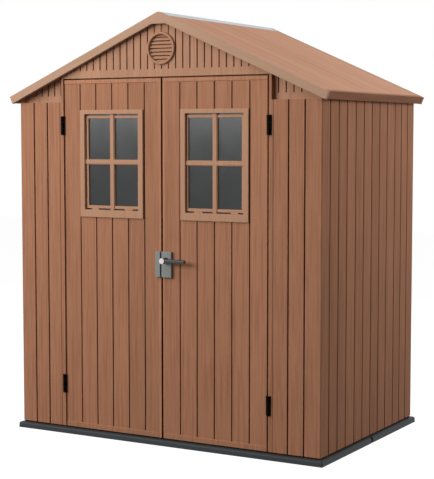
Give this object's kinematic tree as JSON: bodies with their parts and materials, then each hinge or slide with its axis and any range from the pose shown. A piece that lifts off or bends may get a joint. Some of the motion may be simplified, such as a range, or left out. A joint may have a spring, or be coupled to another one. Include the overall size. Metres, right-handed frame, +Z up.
{
  "type": "resin garden shed",
  "caption": "Free-standing resin garden shed with grooved board walls, glazed double doors, a gable vent and a pitched roof with a translucent ridge strip.",
  "frame": {"origin": "on the ground at the centre of the walls' plan", "axes": "+Z up, the doors face -Y, +X is to the right of someone who faces the doors"},
  "size_m": [1.8504, 1.231, 2.17],
  "materials": {
    "wall_resin": "brown resin, moulded as grooved boards with a brushed wood grain",
    "trim_resin": "brown resin, fine grain along the trim",
    "roof_resin": "brown resin, faint streaks down the slope",
    "base_resin": "dark charcoal resin, matt",
    "frosted_sheet": "translucent white sheet",
    "window_sheet": "clear sheet before a dark interior",
    "galvanised_steel": "galvanised",
    "black_steel": "black satin paint",
    "grey_plate": "grey satin moulding",
    "dark_handle": "dark charcoal satin moulding",
    "white_cap": "pale disc"
  },
  "bodies": {
    "shed": {"floor_front": "base_resin", "floor_rear": "base_resin", "front_wall_left": "wall_resin", "front_wall_right": "wall_resin", "side_wall_left": "wall_resin", "side_wall_right": "wall_resin", "back_wall": "wall_resin", "front_gable": "wall_resin", "gable_cheek_left": "wall_resin", "gable_cheek_right": "wall_resin", "back_gable": "wall_resin", "front_vent_ring": "wall_resin", "front_vent_louvres": "wall_resin", "rear_vent_ring": "wall_resin", "rear_vent_louvres": "wall_resin", "door_post_left": "wall_resin", "door_post_right": "wall_resin", "door_header": "wall_resin", "roof_panel_left": "roof_resin", "roof_panel_right": "roof_resin", "eave_trim_left": "trim_resin", "eave_trim_right": "trim_resin", "front_rake_left": "trim_resin", "front_rake_right": "trim_resin", "front_ridge_cap": "trim_resin", "rear_rake_left": "trim_resin", "rear_rake_right": "trim_resin", "rear_ridge_cap": "trim_resin", "skylight": "frosted_sheet", "ridge_beam": "galvanised_steel", "post_hinges_left": "black_steel", "post_hinges_right": "black_steel"},
    "left_door": {"door_leaf_left": "wall_resin", "window_frame_left": "wall_resin", "window_glass_left": "window_sheet", "door_hinges_left": "black_steel", "strike_plate": "grey_plate"},
    "right_door": {"door_leaf_right": "wall_resin", "window_frame_right": "wall_resin", "window_glass_right": "window_sheet", "door_hinges_right": "black_steel", "lock_plate": "grey_plate"},
    "lever": {"lever_handle": "dark_handle", "lock_cap": "white_cap"}
  },
  "joints": [
    {"name": "left_door_hinge", "type": "hinge", "parent": "shed", "child": "left_door", "pos_m": [-0.603, -0.579, 0.9375], "axis": [0, 0, -1], "range_deg": [0, 110]},
    {"name": "right_door_hinge", "type": "hinge", "parent": "shed", "child": "right_door", "pos_m": [0.603, -0.579, 0.9375], "axis": [0, 0, 1], "range_deg": [0, 110]},
    {"name": "lever_turn", "type": "hinge", "parent": "right_door", "child": "lever", "pos_m": [0.03175, -0.579, 0.94], "axis": [0, 1, 0], "range_deg": [0, 50], "stiffness_Nm_per_rad": 0.6, "springref_deg": -22.92}
  ]
}
